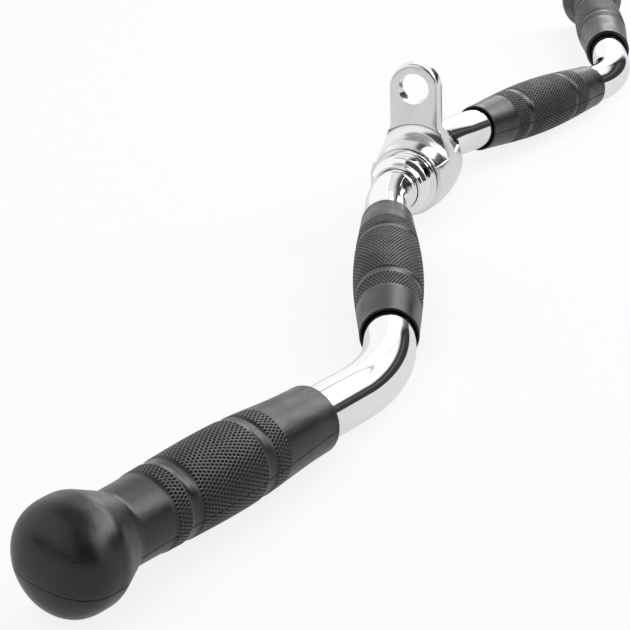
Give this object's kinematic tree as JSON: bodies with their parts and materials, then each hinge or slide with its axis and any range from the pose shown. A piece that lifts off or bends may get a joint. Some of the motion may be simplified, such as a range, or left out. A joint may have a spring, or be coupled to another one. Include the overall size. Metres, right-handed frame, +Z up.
{
  "type": "lat pulldown bar",
  "caption": "W-shaped bent steel pulldown bar with moulded rubber grips, knob ends and a revolving centre hanger with a round hole.",
  "frame": {"origin": "middle of the bounding box at floor height, with the bar lying on its knobs and outer grips", "axes": "+X along the bar towards its right end, +Z up from the floor, +Y away from the side where the inner runs lead"},
  "size_m": [0.9798, 0.0968, 0.0893],
  "materials": {
    "bright_chrome": "polished chrome plate on steel",
    "satin_chrome": "soft, slightly satin chrome plate on forged steel",
    "bronze": "turned bearing bronze",
    "black_steel": "black oxide",
    "grip_rubber": "near-black moulded rubber, soft sheen, knurled bands"
  },
  "bodies": {
    "bar": {"bar": "bright_chrome", "inner_grip_left": "grip_rubber", "inner_grip_right": "grip_rubber", "outer_grip_left": "grip_rubber", "outer_grip_right": "grip_rubber", "thrust_washer_left": "bright_chrome", "thrust_washer_right": "bright_chrome", "stop_collar_left": "bright_chrome", "stop_collar_right": "bright_chrome", "set_screw_left": "black_steel", "set_screw_right": "black_steel"},
    "hanger": {"hanger": "satin_chrome", "bush_left": "bronze", "bush_right": "bronze"}
  },
  "joints": [
    {"name": "hanger_swivel", "type": "hinge", "parent": "bar", "child": "hanger", "pos_m": [0, 0.02523, 0.02534], "axis": [1, 0, 0], "continuous": true}
  ]
}
